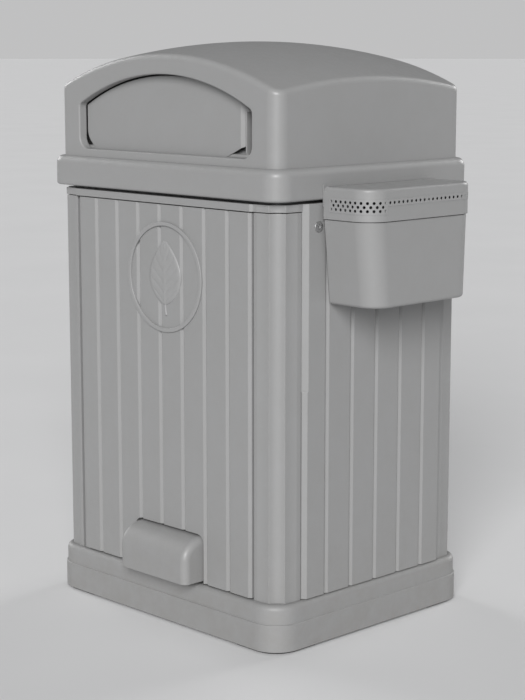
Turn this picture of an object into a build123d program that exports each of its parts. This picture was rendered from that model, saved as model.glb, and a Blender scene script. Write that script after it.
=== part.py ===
from build123d import *
import os
from math import cos, radians, sin, sqrt

os.makedirs("parts", exist_ok=True)

# Hooded litter bin with a side ash box. Millimetres, +Z up, door towards -Y, ash box towards +X.
# Origin: centre of the plinth on the ground.

# ---------------------------------------------------------------- driving dimensions
total_height = 1250.0
pad_height = 5.0
step_height = 63.0
step_round = 2.2
deck_height = 104.0
deck_thickness = 6.0

lower_width = 730.0
lower_depth = 606.0
lower_radius = 62.0
upper_width = 725.0
upper_depth = 600.0
upper_radius = 60.0
plinth_wall = 7.0
anchor_x = 270.0
anchor_y = 210.0
anchor_radius = 6.5

post_x = 350.0
post_y = 286.0
post_inner_x = 283.0
post_inner_y = 217.0
post_wall = 5.0
flank_radius = 150.0
flank_angle = 12.0
core_radius = 30.0
post_top = 911.0

door_half = 277.0
door_face = -291.0
door_back = -265.0
door_bottom = 107.0
door_top = 910.5
pivot_x = -264.0
pivot_y = -278.0
pivot_round = 13.0
skin = 9.0
groove_half = 6.0
groove_depth = 5.0
front_pitch = 70.0
side_pitch = 75.0

panel_face_x = 359.0
panel_half_y = 215.0
panel_depth = 24.0
panel_bottom = 106.0
panel_top = 928.0
panel_chamfer = 8.0
back_face = 291.0
back_half = 281.0

rail_bottom = 913.0
rail_top = 928.0
neck_top = 935.0

collar_width = 727.0
collar_depth = 602.0
collar_radius = 42.0
collar_shelf = 953.0
collar_top = 1000.0

hood_width = 693.0
hood_depth = 568.0
hood_radius = 31.0
hood_wall = 5.0
dome_cross_radius = 855.0
dome_long_radius = 1531.0
hood_front = -hood_depth / 2

opening_half = 274.0
opening_sill = 1017.0
opening_apex = 1182.0
arch_radius = 585.0
lip_wall = 4.0
lip_back = -264.0

chute_y = -255.0
chute_z = 1018.0
chute_face = -262.0
chute_wall = 3.0
chute_left = -272.0
chute_right = 235.0
axle_radius = 6.0
running_gap = 0.08
cheek_radius = 92.0
cheek_angle = 50.0

crank_offset = 17.0
crank_swing = 20.0
crank_x = 313.0
crank_thickness = 6.0
rod_x = 305.0
rod_y = chute_y + crank_offset
rod_radius = 4.0
rod_pin_radius = 3.0
half_stroke = 6.19

shaft_y = -284.0
shaft_z = 80.0
shaft_radius = 6.0
pedal_centre = 21.5
pedal_half = 107.5
pedal_front = -342.0
pedal_back = -282.0
pedal_bottom = 112.0
pedal_crease = 163.0
pedal_top = 209.0
pedal_wall = 4.0
notch_left = -89.5
notch_right = 132.5
notch_top = 213.0

lock_y = -178.0
lock_z = 881.0

ash_centre = -6.5
ash_low_centre = -0.5
ash_back = 366.0
ash_front = 495.0
ash_bottom = 721.0
ash_seam = 895.0
ash_top = 962.0
ash_half_top = 164.5
ash_half_bottom = 149.5
ash_radius = 48.0
ash_wall = 4.0
ash_hinge_x = 375.5
ash_hinge_z = 953.0
ash_hinge_round = 9.0


def save(part, name):
    """Label a finished piece and write it under its own name."""
    part.label = name
    export_step(part, "parts/" + name + ".step")


def post_outline(grow):
    """Soft corner of the front-right post: flat, slow curve, tight curve, slow curve, flat."""
    turn = radians(flank_angle)
    run = (flank_radius + grow) * sin(turn)
    sag = (flank_radius + grow) * (1 - cos(turn))
    bend = core_radius + grow
    reach = bend * (cos(turn) - sin(turn))
    face_x = post_x + grow
    face_y = -post_y - grow
    start = Vector(face_x - sag - reach - run, face_y)
    first = Vector(start.X + run, face_y + sag)
    second = Vector(face_x - sag, face_y + sag + reach)
    end = Vector(face_x, second.Y + run)
    return start, first, second, end


# ---------------------------------------------------------------- foot pads under the plinth corners
pad_inset = 8.0
pad_inner_x = 240.0
pad_inner_y = 180.0
with BuildPart() as foot_pads:
    with BuildSketch(Plane.XY):
        RectangleRounded(lower_width - 2 * pad_inset, lower_depth - 2 * pad_inset, lower_radius - pad_inset)
        Rectangle(2 * pad_inner_x, lower_depth, mode=Mode.SUBTRACT)
        Rectangle(lower_width, 2 * pad_inner_y, mode=Mode.SUBTRACT)
        with GridLocations(2 * anchor_x, 2 * anchor_y, 2, 2):
            Circle(anchor_radius, mode=Mode.SUBTRACT)
    extrude(amount=pad_height)
save(foot_pads.part, "foot_pads")

# ---------------------------------------------------------------- two-step plinth, hollow, open in the middle
flange_top = pad_height + 8.0
flange_open_x = 225.0
flange_open_y = 165.0
deck_open_x = 285.0
deck_open_y = 225.0
arm_x = (pedal_centre - 66.0, pedal_centre + 66.0)
arm_thickness = 8.0
arm_slot = 16.0
slot_back = -262.0
slot_front = -294.5
slot_floor = 70.0
crank_slot_half = 26.0
with BuildPart() as base_plinth:
    with BuildSketch(Plane.XY.offset(pad_height)):
        RectangleRounded(lower_width, lower_depth, lower_radius)
    extrude(amount=step_height - pad_height)
    fillet(base_plinth.faces().sort_by(Axis.Z)[-1].edges(), step_round)
    with BuildSketch(Plane.XY.offset(step_height - 20.0)):
        RectangleRounded(upper_width, upper_depth, upper_radius)
    extrude(amount=deck_height - step_height + 20.0)
    fillet(base_plinth.faces().sort_by(Axis.Z)[-1].edges(), 12.0)
    with BuildSketch(Plane.XY.offset(flange_top)):
        RectangleRounded(upper_width - 2 * plinth_wall, upper_depth - 2 * plinth_wall, upper_radius - plinth_wall)
    extrude(amount=deck_height - deck_thickness - flange_top, mode=Mode.SUBTRACT)
    with BuildSketch(Plane.XY.offset(pad_height)):
        RectangleRounded(2 * flange_open_x, 2 * flange_open_y, 30.0)
        with GridLocations(2 * anchor_x, 2 * anchor_y, 2, 2):
            Circle(anchor_radius)
    extrude(amount=flange_top - pad_height, mode=Mode.SUBTRACT)
    with BuildSketch(Plane.XY.offset(deck_height - deck_thickness)):
        RectangleRounded(2 * deck_open_x, 2 * deck_open_y, 30.0)
        with Locations((rod_x, rod_y)):
            Circle(rod_radius + 2.0)
        with Locations((pivot_x, pivot_y)):
            Circle(4.0)
    extrude(amount=deck_thickness, mode=Mode.SUBTRACT)
    with BuildSketch(Plane.XY.offset(slot_floor)):
        for slot_x in arm_x:
            with Locations((slot_x, (slot_back + slot_front) / 2)):
                Rectangle(arm_slot, slot_back - slot_front)
    extrude(amount=deck_height - slot_floor + 1.0, mode=Mode.SUBTRACT)
save(base_plinth.part, "base_plinth")

# ---------------------------------------------------------------- drained floor pan lying on the deck ledge
floor_half_x = 300.0
floor_half_y = 238.0
floor_thickness = 4.0
with BuildPart() as floor_pan:
    with BuildSketch(Plane.XY.offset(deck_height)):
        RectangleRounded(2 * floor_half_x, 2 * floor_half_y, 12.0)
        with Locations((rod_x, rod_y)):
            Circle(20.0, mode=Mode.SUBTRACT)
        with GridLocations(120.0, 110.0, 4, 3):
            Circle(6.0, mode=Mode.SUBTRACT)
    extrude(amount=floor_thickness)
save(floor_pan.part, "floor_pan")

# ---------------------------------------------------------------- soft-cornered hollow corner posts
outer_start, outer_first, outer_second, outer_end = post_outline(0.0)
inner_start, inner_first, inner_second, inner_end = post_outline(-post_wall)
return_x = 26.0
return_y = 28.0
return_wall = 4.0
with BuildPart() as post_front_right:
    with BuildSketch(Plane.XY.offset(deck_height)):
        with BuildLine():
            Polyline((post_inner_x, -post_y + return_x), (post_inner_x, -post_y), outer_start)
            RadiusArc(outer_start, outer_first, flank_radius)
            RadiusArc(outer_first, outer_second, core_radius)
            RadiusArc(outer_second, outer_end, flank_radius)
            Polyline(
                outer_end,
                (post_x, -post_inner_y),
                (post_x - return_y, -post_inner_y),
                (post_x - return_y, -post_inner_y - return_wall),
                (post_x - post_wall, -post_inner_y - return_wall),
                inner_end,
            )
            RadiusArc(inner_end, inner_second, -(flank_radius - post_wall))
            RadiusArc(inner_second, inner_first, -(core_radius - post_wall))
            RadiusArc(inner_first, inner_start, -(flank_radius - post_wall))
            Polyline(
                inner_start,
                (post_inner_x + return_wall, -post_y + post_wall),
                (post_inner_x + return_wall, -post_y + return_x),
                (post_inner_x, -post_y + return_x),
            )
        make_face()
    extrude(amount=post_top - deck_height)
save(post_front_right.part, "post_front_right")
with BuildPart() as post_front_left:
    add(post_front_right.part.mirror(Plane.YZ))
save(post_front_left.part, "post_front_left")
with BuildPart() as post_back_right:
    add(post_front_right.part.mirror(Plane.XZ))
save(post_back_right.part, "post_back_right")
with BuildPart() as post_back_left:
    add(post_front_left.part.mirror(Plane.XZ))
save(post_back_left.part, "post_back_left")

# ---------------------------------------------------------------- ribbed side panels
side_grooves = [k * side_pitch for k in range(-2, 3)]
lock_bore = 7.0
plate_screw_y = (-85.0, 97.0)
plate_screw_z = (755.0, 885.0)
screw_radius = 2.5
panel_pocket = panel_depth - skin
panel_bays = ((116.0, 372.0), (380.0, 642.0), (650.0, 918.0))
bay_half_y = panel_half_y - 9.0
wide_edge_bottom = 545.0
wide_edge_chamfer = 10.5
with BuildPart() as side_panel_right:
    with BuildSketch(Plane.XY.offset(panel_bottom)):
        with BuildLine():
            Polyline(
                (panel_face_x - panel_depth, -panel_half_y),
                (panel_face_x - panel_chamfer, -panel_half_y),
                (panel_face_x, -panel_half_y + panel_chamfer),
                (panel_face_x, panel_half_y - panel_chamfer),
                (panel_face_x - panel_chamfer, panel_half_y),
                (panel_face_x - panel_depth, panel_half_y),
                (panel_face_x - panel_depth, -panel_half_y),
            )
        make_face()
        for groove_y in side_grooves:
            with BuildLine():
                Polyline(
                    (panel_face_x, groove_y - groove_half),
                    (panel_face_x - groove_depth, groove_y),
                    (panel_face_x, groove_y + groove_half),
                    (panel_face_x, groove_y - groove_half),
                )
            make_face(mode=Mode.SUBTRACT)
    extrude(amount=panel_top - panel_bottom)
    with BuildSketch(Plane.YZ.offset(panel_face_x - panel_depth)):
        for bay_bottom, bay_top in panel_bays:
            with Locations((0, (bay_bottom + bay_top) / 2)):
                Rectangle(2 * bay_half_y, bay_top - bay_bottom)
    extrude(amount=panel_pocket, mode=Mode.SUBTRACT)
    with BuildSketch(Plane.YZ.offset(panel_face_x - skin - 1.0)):
        with Locations((lock_y, lock_z)):
            Circle(lock_bore)
        for screw_y in plate_screw_y:
            for screw_z in plate_screw_z:
                with Locations((screw_y, screw_z)):
                    Circle(screw_radius)
    extrude(amount=skin + 2.0, mode=Mode.SUBTRACT)
    with BuildSketch(Plane.XY.offset(wide_edge_bottom)):
        with BuildLine():
            Polyline(
                (panel_face_x - wide_edge_chamfer, -panel_half_y),
                (panel_face_x, -panel_half_y + wide_edge_chamfer),
                (panel_face_x + 1.0, -panel_half_y - 1.0),
                (panel_face_x - wide_edge_chamfer, -panel_half_y),
            )
        make_face()
    extrude(amount=panel_top - wide_edge_bottom, mode=Mode.SUBTRACT)
save(side_panel_right.part, "side_panel_right")

with BuildPart() as side_panel_left:
    with BuildSketch(Plane.XY.offset(panel_bottom)):
        with BuildLine():
            Polyline(
                (-panel_face_x + panel_depth, -panel_half_y),
                (-panel_face_x + panel_chamfer, -panel_half_y),
                (-panel_face_x, -panel_half_y + panel_chamfer),
                (-panel_face_x, panel_half_y - panel_chamfer),
                (-panel_face_x + panel_chamfer, panel_half_y),
                (-panel_face_x + panel_depth, panel_half_y),
                (-panel_face_x + panel_depth, -panel_half_y),
            )
        make_face()
        for groove_y in side_grooves:
            with BuildLine():
                Polyline(
                    (-panel_face_x, groove_y - groove_half),
                    (-panel_face_x + groove_depth, groove_y),
                    (-panel_face_x, groove_y + groove_half),
                    (-panel_face_x, groove_y - groove_half),
                )
            make_face(mode=Mode.SUBTRACT)
    extrude(amount=panel_top - panel_bottom)
    with BuildSketch(Plane.YZ.offset(-panel_face_x + skin)):
        for bay_bottom, bay_top in panel_bays:
            with Locations((0, (bay_bottom + bay_top) / 2)):
                Rectangle(2 * bay_half_y, bay_top - bay_bottom)
    extrude(amount=panel_pocket, mode=Mode.SUBTRACT)
save(side_panel_left.part, "side_panel_left")

# ---------------------------------------------------------------- ribbed back panel
front_grooves = [k * front_pitch for k in range(-3, 4)]
back_chamfer = 5.0
with BuildPart() as back_panel:
    with BuildSketch(Plane.XY.offset(panel_bottom)):
        with BuildLine():
            Polyline(
                (-back_half, back_face - panel_depth),
                (-back_half, back_face - back_chamfer),
                (-back_half + back_chamfer, back_face),
                (back_half - back_chamfer, back_face),
                (back_half, back_face - back_chamfer),
                (back_half, back_face - panel_depth),
                (-back_half, back_face - panel_depth),
            )
        make_face()
        for groove_x in front_grooves:
            with BuildLine():
                Polyline(
                    (groove_x - groove_half, back_face),
                    (groove_x, back_face - groove_depth),
                    (groove_x + groove_half, back_face),
                    (groove_x - groove_half, back_face),
                )
            make_face(mode=Mode.SUBTRACT)
    extrude(amount=panel_top - panel_bottom)
    with BuildSketch(Plane.XZ.offset(-back_face + panel_depth)):
        for bay_bottom, bay_top in panel_bays:
            with Locations((0, (bay_bottom + bay_top) / 2)):
                Rectangle(2 * back_half - 18.0, bay_top - bay_bottom)
    extrude(amount=-panel_pocket, mode=Mode.SUBTRACT)
save(back_panel.part, "back_panel")

# ---------------------------------------------------------------- top frame: corner rings, front rail, neck
ring_grow = 1.5
frame_side = 333.0
frame_open_x = 300.0
frame_open_y = 240.0
rail_half = 283.0
rail_face = -293.5
rail_chamfer = 5.0
neck_x = 330.0
neck_y = 266.0
frame_screw_x = 313.0
frame_screw_y = 150.0
ring_start, ring_first, ring_second, ring_end = post_outline(ring_grow)
with BuildPart() as top_frame:
    with BuildSketch(Plane.XY.offset(rail_bottom)):
        with BuildLine():
            Polyline((0, 0), (0, -post_y - ring_grow), ring_start)
            RadiusArc(ring_start, ring_first, flank_radius + ring_grow)
            RadiusArc(ring_first, ring_second, core_radius + ring_grow)
            RadiusArc(ring_second, ring_end, flank_radius + ring_grow)
            Polyline(
                ring_end,
                (post_x + ring_grow, -post_inner_y),
                (frame_side, -post_inner_y),
                (frame_side, 0),
                (0, 0),
            )
        make_face()
        mirror(about=Plane.YZ)
        mirror(about=Plane.XZ)
        with BuildLine():
            Polyline(
                (-rail_half, -post_y + 1.0),
                (-rail_half, rail_face + rail_chamfer),
                (-rail_half + rail_chamfer, rail_face),
                (rail_half - rail_chamfer, rail_face),
                (rail_half, rail_face + rail_chamfer),
                (rail_half, -post_y + 1.0),
                (-rail_half, -post_y + 1.0),
            )
        make_face()
        with Locations((0, back_face - panel_depth / 2 + 5.0)):
            Rectangle(2 * back_half + 2.0, panel_depth + 12.0, mode=Mode.SUBTRACT)
        Rectangle(2 * frame_open_x, 2 * frame_open_y, mode=Mode.SUBTRACT)
        with Locations((rod_x, rod_y)):
            Circle(rod_radius + 2.0, mode=Mode.SUBTRACT)
        with Locations((pivot_x, pivot_y)):
            Circle(4.0, mode=Mode.SUBTRACT)
        with GridLocations(2 * frame_screw_x, 2 * frame_screw_y, 2, 2):
            Circle(screw_radius, mode=Mode.SUBTRACT)
    extrude(amount=rail_top - rail_bottom)
    with BuildSketch(Plane.XY.offset(rail_top)):
        RectangleRounded(2 * neck_x, 2 * neck_y, 20.0)
        Rectangle(2 * frame_open_x, 2 * frame_open_y, mode=Mode.SUBTRACT)
        with Locations((rod_x, rod_y)):
            Circle(rod_radius + 2.0, mode=Mode.SUBTRACT)
        with GridLocations(2 * frame_screw_x, 2 * frame_screw_y, 2, 2):
            Circle(screw_radius, mode=Mode.SUBTRACT)
    extrude(amount=neck_top - rail_top)
save(top_frame.part, "top_frame")

# ---------------------------------------------------------------- collar that carries the hood
hood_gap = 0.5
side_screw_z = 975.0
side_screw_x = 200.0
side_screw_y = 160.0
side_screw_depth = 7.0
with BuildPart() as collar:
    with BuildSketch(Plane.XY.offset(neck_top)):
        RectangleRounded(collar_width, collar_depth, collar_radius)
    extrude(amount=collar_top - neck_top)
    fillet(collar.faces().sort_by(Axis.Z)[-1].edges(), 16.0)
    fillet(collar.faces().sort_by(Axis.Z)[0].edges(), 5.0)
    with BuildSketch(Plane.XY.offset(collar_shelf)):
        RectangleRounded(hood_width + 2 * hood_gap, hood_depth + 2 * hood_gap, hood_radius + hood_gap)
    extrude(amount=collar_top - collar_shelf, mode=Mode.SUBTRACT)
    with BuildSketch(Plane.XY.offset(neck_top)):
        RectangleRounded(2 * frame_open_x, 2 * frame_open_y, 15.0)
        with Locations((rod_x, rod_y)):
            Circle(rod_radius + 2.0)
        with GridLocations(2 * frame_screw_x, 2 * frame_screw_y, 2, 2):
            Circle(screw_radius)
    extrude(amount=collar_shelf - neck_top, mode=Mode.SUBTRACT)
    for side in (-1, 1):
        with BuildSketch(Plane.YZ.offset(side * (hood_width / 2))):
            with Locations((-side_screw_y, side_screw_z), (side_screw_y, side_screw_z)):
                Circle(screw_radius)
        extrude(amount=side * side_screw_depth, mode=Mode.SUBTRACT)
        with BuildSketch(Plane.XZ.offset(side * (hood_depth / 2))):
            with Locations((-side_screw_x, side_screw_z), (side_screw_x, side_screw_z)):
                Circle(screw_radius)
        extrude(amount=side * side_screw_depth, mode=Mode.SUBTRACT)
save(collar.part, "collar")

# ---------------------------------------------------------------- domed hood with an arched, lipped opening
dome_axis_z = total_height - dome_long_radius
dome_half = 400.0
dome_swing = 26.0
corner_soft = 12.0


def dome_body(shrink):
    """Body below the double-curved roof, lowered by the given amount."""
    crown = total_height - shrink
    edge = crown - dome_cross_radius + sqrt(dome_cross_radius**2 - dome_half**2)
    with BuildPart() as dome:
        with BuildSketch(Plane.XZ):
            with BuildLine():
                ThreePointArc((-dome_half, edge), (0, crown), (dome_half, edge))
                Polyline((dome_half, edge), (dome_half, 600.0), (-dome_half, 600.0), (-dome_half, edge))
            make_face()
        revolve(axis=Axis((0, 0, dome_axis_z), (1, 0, 0)), revolution_arc=dome_swing)
    return dome.part.rotate(Axis((0, 0, dome_axis_z), (1, 0, 0)), -dome_swing / 2)


def opening_face(grow):
    """Arched opening outline in X and Z, grown evenly by the given amount."""
    half = opening_half + grow
    spring = opening_apex + grow - (arch_radius + grow) + sqrt((arch_radius + grow) ** 2 - half**2)
    with BuildSketch() as outline:
        with BuildLine():
            ThreePointArc((-half, spring), (0, opening_apex + grow), (half, spring))
            Polyline(
                (half, spring),
                (half, opening_sill - grow),
                (-half, opening_sill - grow),
                (-half, spring),
            )
        make_face()
        fillet(outline.vertices().sort_by(Axis.Y)[:2], 26.0 + grow)
        fillet(outline.vertices().sort_by(Axis.Y)[-2:], corner_soft + grow)
    return outline.sketch


with BuildPart() as hood:
    with BuildSketch(Plane.XY.offset(collar_shelf)):
        RectangleRounded(hood_width, hood_depth, hood_radius)
    extrude(amount=total_height - collar_shelf + 10.0)
    add(dome_body(0.0), mode=Mode.INTERSECT)
    fillet(hood.edges().filter_by(lambda e: e.center().Z > 1120.0), 14.0)
    with BuildSketch(Plane.XY.offset(collar_shelf)):
        RectangleRounded(hood_width - 2 * hood_wall, hood_depth - 2 * hood_wall, hood_radius - hood_wall)
    hood_core = extrude(amount=total_height - collar_shelf, mode=Mode.PRIVATE)
    add(hood_core.intersect(dome_body(hood_wall)), mode=Mode.SUBTRACT)
    extrude(to_extrude=Plane.XZ.offset(-lip_back) * opening_face(lip_wall), amount=hood_depth / 2 + lip_back)
    extrude(
        to_extrude=Plane.XZ.offset(-lip_back - 5.0) * opening_face(0.0),
        amount=hood_depth / 2 + lip_back + 15.0,
        mode=Mode.SUBTRACT,
    )
    front_rim = hood.edges().filter_by(lambda e: abs(e.center().Y - hood_front) < 0.01)
    fillet(front_rim.filter_by(lambda e: e.center().Z > opening_sill - 2.0), 3.5)
    for side in (-1, 1):
        with BuildSketch(Plane.YZ.offset(side * (hood_width / 2 - hood_wall - 1.0))):
            with Locations((-side_screw_y, side_screw_z), (side_screw_y, side_screw_z)):
                Circle(screw_radius)
        extrude(amount=side * (hood_wall + 2.0), mode=Mode.SUBTRACT)
        with BuildSketch(Plane.XZ.offset(side * (hood_depth / 2 - hood_wall - 1.0))):
            with Locations((-side_screw_x, side_screw_z), (side_screw_x, side_screw_z)):
                Circle(screw_radius)
        extrude(amount=side * (hood_wall + 2.0), mode=Mode.SUBTRACT)
save(hood.part, "hood")

# ---------------------------------------------------------------- screws: hood to collar, collar to frame
head_radius = 5.0
head_height = 2.5
with BuildPart() as hood_screws:
    for side in (-1, 1):
        for hole in (-side_screw_y, side_screw_y):
            with BuildSketch(Plane.YZ.offset(side * (hood_width / 2 - hood_wall))):
                with Locations((hole, side_screw_z)):
                    Circle(screw_radius)
            extrude(amount=side * (hood_wall + side_screw_depth - 1.0))
            with BuildSketch(Plane.YZ.offset(side * (hood_width / 2 - hood_wall))):
                with Locations((hole, side_screw_z)):
                    Circle(head_radius)
            extrude(amount=-side * head_height)
        for hole in (-side_screw_x, side_screw_x):
            with BuildSketch(Plane.XZ.offset(side * (hood_depth / 2 - hood_wall))):
                with Locations((hole, side_screw_z)):
                    Circle(screw_radius)
            extrude(amount=side * (hood_wall + side_screw_depth - 1.0))
            with BuildSketch(Plane.XZ.offset(side * (hood_depth / 2 - hood_wall))):
                with Locations((hole, side_screw_z)):
                    Circle(head_radius)
            extrude(amount=-side * head_height)
save(hood_screws.part, "hood_screws")

with BuildPart() as collar_screws:
    with BuildSketch(Plane.XY.offset(collar_shelf)):
        with GridLocations(2 * frame_screw_x, 2 * frame_screw_y, 2, 2):
            Circle(head_radius)
    extrude(amount=head_height)
    with BuildSketch(Plane.XY.offset(rail_bottom + 1.0)):
        with GridLocations(2 * frame_screw_x, 2 * frame_screw_y, 2, 2):
            Circle(screw_radius)
    extrude(amount=collar_shelf - rail_bottom - 1.0)
save(collar_screws.part, "collar_screws")

# ---------------------------------------------------------------- ribbed door with a notch over the pedal
door_chamfer_x = 6.0
door_chamfer_y = 5.0
door_pocket = door_back - door_face - skin
door_bays = ((234.0, 440.0), (448.0, 660.0), (668.0, 898.0))
bay_left = -250.0
bay_right = 269.0
low_bay_bottom = 128.0
low_bay_top = 226.0
notch_border = 8.0
with BuildPart() as door:
    with BuildSketch(Plane.XY.offset(door_bottom)):
        with BuildLine():
            Polyline(
                (pivot_x, door_face),
                (door_half - door_chamfer_x, door_face),
                (door_half, door_face + door_chamfer_y),
                (door_half, door_back),
                (pivot_x, door_back),
            )
            ThreePointArc((pivot_x, door_back), (pivot_x - pivot_round, pivot_y), (pivot_x, door_face))
        make_face()
        for groove_x in front_grooves:
            with BuildLine():
                Polyline(
                    (groove_x - groove_half, door_face),
                    (groove_x, door_face + groove_depth),
                    (groove_x + groove_half, door_face),
                    (groove_x - groove_half, door_face),
                )
            make_face(mode=Mode.SUBTRACT)
    extrude(amount=door_top - door_bottom)
    with BuildSketch(Plane.XZ.offset(-door_face + 1.0)):
        with Locations(((notch_left + notch_right) / 2, (door_bottom + notch_top) / 2)):
            notch = Rectangle(notch_right - notch_left, notch_top - door_bottom)
        fillet(notch.vertices().sort_by(Axis.Y)[-2:], 19.0)
    extrude(amount=-(door_back - door_face + 2.0), mode=Mode.SUBTRACT)
    with BuildSketch(Plane.XZ.offset(-door_back)):
        for bay_bottom, bay_top in door_bays:
            with Locations(((bay_left + bay_right) / 2, (bay_bottom + bay_top) / 2)):
                Rectangle(bay_right - bay_left, bay_top - bay_bottom)
        for low_left, low_right in ((bay_left, notch_left - notch_border), (notch_right + notch_border, bay_right)):
            with Locations(((low_left + low_right) / 2, (low_bay_bottom + low_bay_top) / 2)):
                Rectangle(low_right - low_left, low_bay_top - low_bay_bottom)
    extrude(amount=door_pocket, mode=Mode.SUBTRACT)
    with BuildSketch(Plane.XY.offset(door_bottom)):
        with Locations((pivot_x, pivot_y)):
            Circle(4.0 + running_gap)
    extrude(amount=16.0, mode=Mode.SUBTRACT)
    with BuildSketch(Plane.XY.offset(door_top - 16.0)):
        with Locations((pivot_x, pivot_y)):
            Circle(4.0 + running_gap)
    extrude(amount=16.0, mode=Mode.SUBTRACT)
save(door.part, "door")

# pivot pins standing in the deck and hanging from the front rail
with BuildPart() as door_pivot_pins:
    with BuildSketch(Plane.XY.offset(deck_height - deck_thickness)):
        with Locations((pivot_x, pivot_y)):
            Circle(4.0)
    extrude(amount=door_bottom + 14.0 - deck_height + deck_thickness)
    with BuildSketch(Plane.XY.offset(deck_height)):
        with Locations((pivot_x, pivot_y)):
            Circle(9.0)
    extrude(amount=door_bottom - deck_height - running_gap)
    with BuildSketch(Plane.XY.offset(door_top - 14.0)):
        with Locations((pivot_x, pivot_y)):
            Circle(4.0)
    extrude(amount=rail_top - 1.0 - door_top + 14.0)
save(door_pivot_pins.part, "door_pivot_pins")

# hook plate inside the top edge of the door, caught by the lock cam
keeper_left = 256.0
keeper_right = 268.5
with BuildPart() as door_keeper:
    with BuildSketch(Plane.YZ.offset(keeper_left)):
        with BuildLine():
            Polyline(
                (door_back, lock_z + 18.5),
                (door_back, lock_z + 22.5),
                (lock_y - 64.0, lock_z + 22.5),
                (lock_y - 64.0, lock_z + 9.0),
                (lock_y - 68.0, lock_z + 9.0),
                (lock_y - 68.0, lock_z + 18.5),
                (door_back, lock_z + 18.5),
            )
        make_face()
    extrude(amount=keeper_right - keeper_left)
save(door_keeper.part, "door_keeper")

# ---------------------------------------------------------------- roundel and leaf emblem on the door
roundel_x = 17.0
roundel_z = 757.0
roundel_radius = 118.0
roundel_band = 9.0
roundel_height = 4.5
with BuildPart() as roundel_ring:
    with BuildSketch(Plane.XZ.offset(-door_face)):
        with Locations((roundel_x, roundel_z)):
            Circle(roundel_radius)
            Circle(roundel_radius - roundel_band, mode=Mode.SUBTRACT)
    extrude(amount=roundel_height)
    fillet(roundel_ring.edges().filter_by(lambda e: e.center().Y < door_face - 1.0), 1.5)
save(roundel_ring.part, "roundel_ring")

leaf_length = 158.0
leaf_bulge = 50.0
vein_half = 2.5
with BuildPart() as leaf_emblem:
    with BuildSketch(Plane.XZ.offset(-door_face)):
        with BuildLine():
            ThreePointArc(
                (roundel_x, roundel_z - leaf_length / 2 + 18.0),
                (roundel_x - leaf_bulge, roundel_z + 6.0),
                (roundel_x, roundel_z + leaf_length / 2),
            )
            ThreePointArc(
                (roundel_x, roundel_z + leaf_length / 2),
                (roundel_x + leaf_bulge, roundel_z + 6.0),
                (roundel_x, roundel_z - leaf_length / 2 + 18.0),
            )
        make_face()
        with Locations((roundel_x, roundel_z - leaf_length / 2 + 10.0)):
            Rectangle(6.0, 26.0)
        with Locations((roundel_x, roundel_z + 14.0)):
            Rectangle(2 * vein_half, 84.0, mode=Mode.SUBTRACT)
        for rise in (-22.0, 4.0, 30.0):
            for side in (-1, 1):
                with Locations((roundel_x + side * 11.0, roundel_z + rise + 8.0)):
                    Rectangle(26.0, 2 * vein_half, rotation=side * 45.0, mode=Mode.SUBTRACT)
    extrude(amount=3.0)
save(leaf_emblem.part, "leaf_emblem")

# ---------------------------------------------------------------- lock in the right side panel
spindle_radius = 4.0
cam_left = 262.0
cam_right = 266.0
cam_length = 80.0
with BuildPart() as lock_barrel:
    with BuildSketch(Plane.YZ.offset(panel_face_x - 17.0)):
        with Locations((lock_y, lock_z)):
            Circle(lock_bore - 0.05)
    extrude(amount=17.0)
    with BuildSketch(Plane.YZ.offset(panel_face_x)):
        with Locations((lock_y, lock_z)):
            Circle(11.0)
    extrude(amount=2.5)
    fillet(lock_barrel.faces().sort_by(Axis.X)[-1].edges(), 1.0)
    with BuildSketch(Plane.YZ.offset(panel_face_x - 18.0)):
        with Locations((lock_y, lock_z)):
            Circle(spindle_radius + running_gap)
    extrude(amount=22.0, mode=Mode.SUBTRACT)
save(lock_barrel.part, "lock_barrel")

with BuildPart() as lock_cam:
    with BuildSketch(Plane.YZ.offset(cam_left)):
        with Locations((lock_y, lock_z)):
            Circle(spindle_radius)
    extrude(amount=panel_face_x + 1.5 - cam_left)
    with BuildSketch(Plane.YZ.offset(cam_left)):
        with Locations((lock_y, lock_z)):
            Circle(10.0)
        with Locations((lock_y, lock_z - cam_length / 2)):
            Rectangle(12.0, cam_length)
        with Locations((lock_y - 8.0, lock_z - cam_length + 4.0)):
            Rectangle(16.0, 8.0)
    extrude(amount=cam_right - cam_left)
    with BuildSketch(Plane.YZ.offset(panel_face_x + 1.5)):
        with Locations((lock_y, lock_z)):
            RegularPolygon(2.6, 3)
    extrude(amount=-4.0, mode=Mode.SUBTRACT)
save(lock_cam.part, "lock_cam")

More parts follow.
